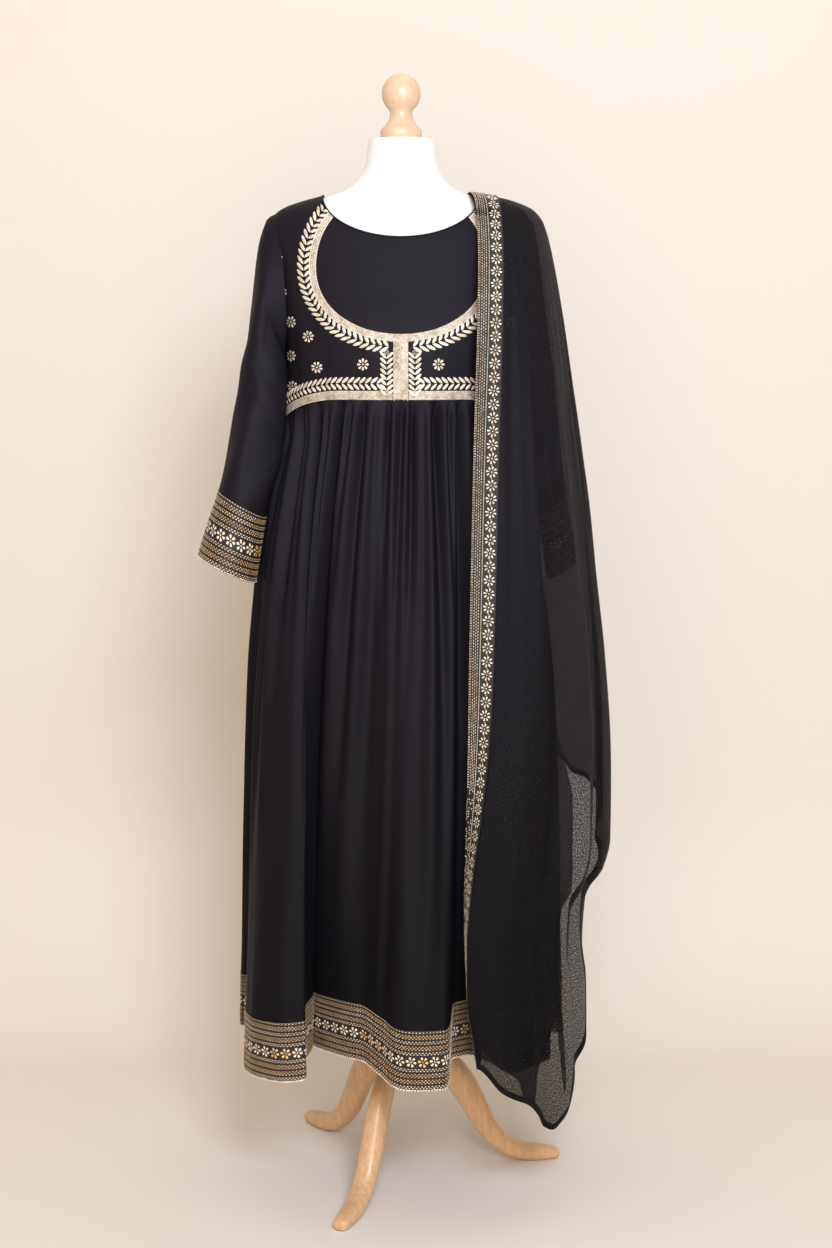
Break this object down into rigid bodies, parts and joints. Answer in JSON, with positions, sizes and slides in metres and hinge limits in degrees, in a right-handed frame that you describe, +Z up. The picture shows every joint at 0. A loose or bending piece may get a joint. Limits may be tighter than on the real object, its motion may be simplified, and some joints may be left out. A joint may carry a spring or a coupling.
{
  "type": "churidar suit on a dress form",
  "caption": "Long gathered anarkali kameez with embroidered yoke, cuffs and hem, and a sheer dupatta over one shoulder, on a limbless dress form with a wooden tripod stand.",
  "frame": {"origin": "on the floor, at the middle of the bounding box's base", "axes": "+Z up along the stand's pole, the front faces -Y and the wearer's left is +X"},
  "size_m": [0.6054, 0.4992, 1.6569],
  "materials": {
    "jersey": "matt white stretch jersey",
    "beech": "satin lacquer",
    "steel": "satin",
    "georgette": "matt fine crepe",
    "chiffon": "matt, sheer",
    "zari": "metal thread embroidery, half matt"
  },
  "bodies": {
    "root": {"bodice_back": "georgette", "bodice_front": "georgette", "cuff_left": "zari", "cuff_right": "zari", "dupatta": "chiffon", "dupatta_border": "zari", "form_torso": "jersey", "hem_border_back": "zari", "hem_border_front": "zari", "leg_front": "beech", "leg_hub": "beech", "leg_left": "beech", "leg_right": "beech", "neck_finial": "beech", "placket": "zari", "pole": "steel", "skirt_back": "georgette", "skirt_front": "georgette", "sleeve_left": "georgette", "sleeve_right": "georgette", "waist_band_left": "zari", "waist_band_right": "zari", "yoke_border": "zari"}
  },
  "joints": []
}
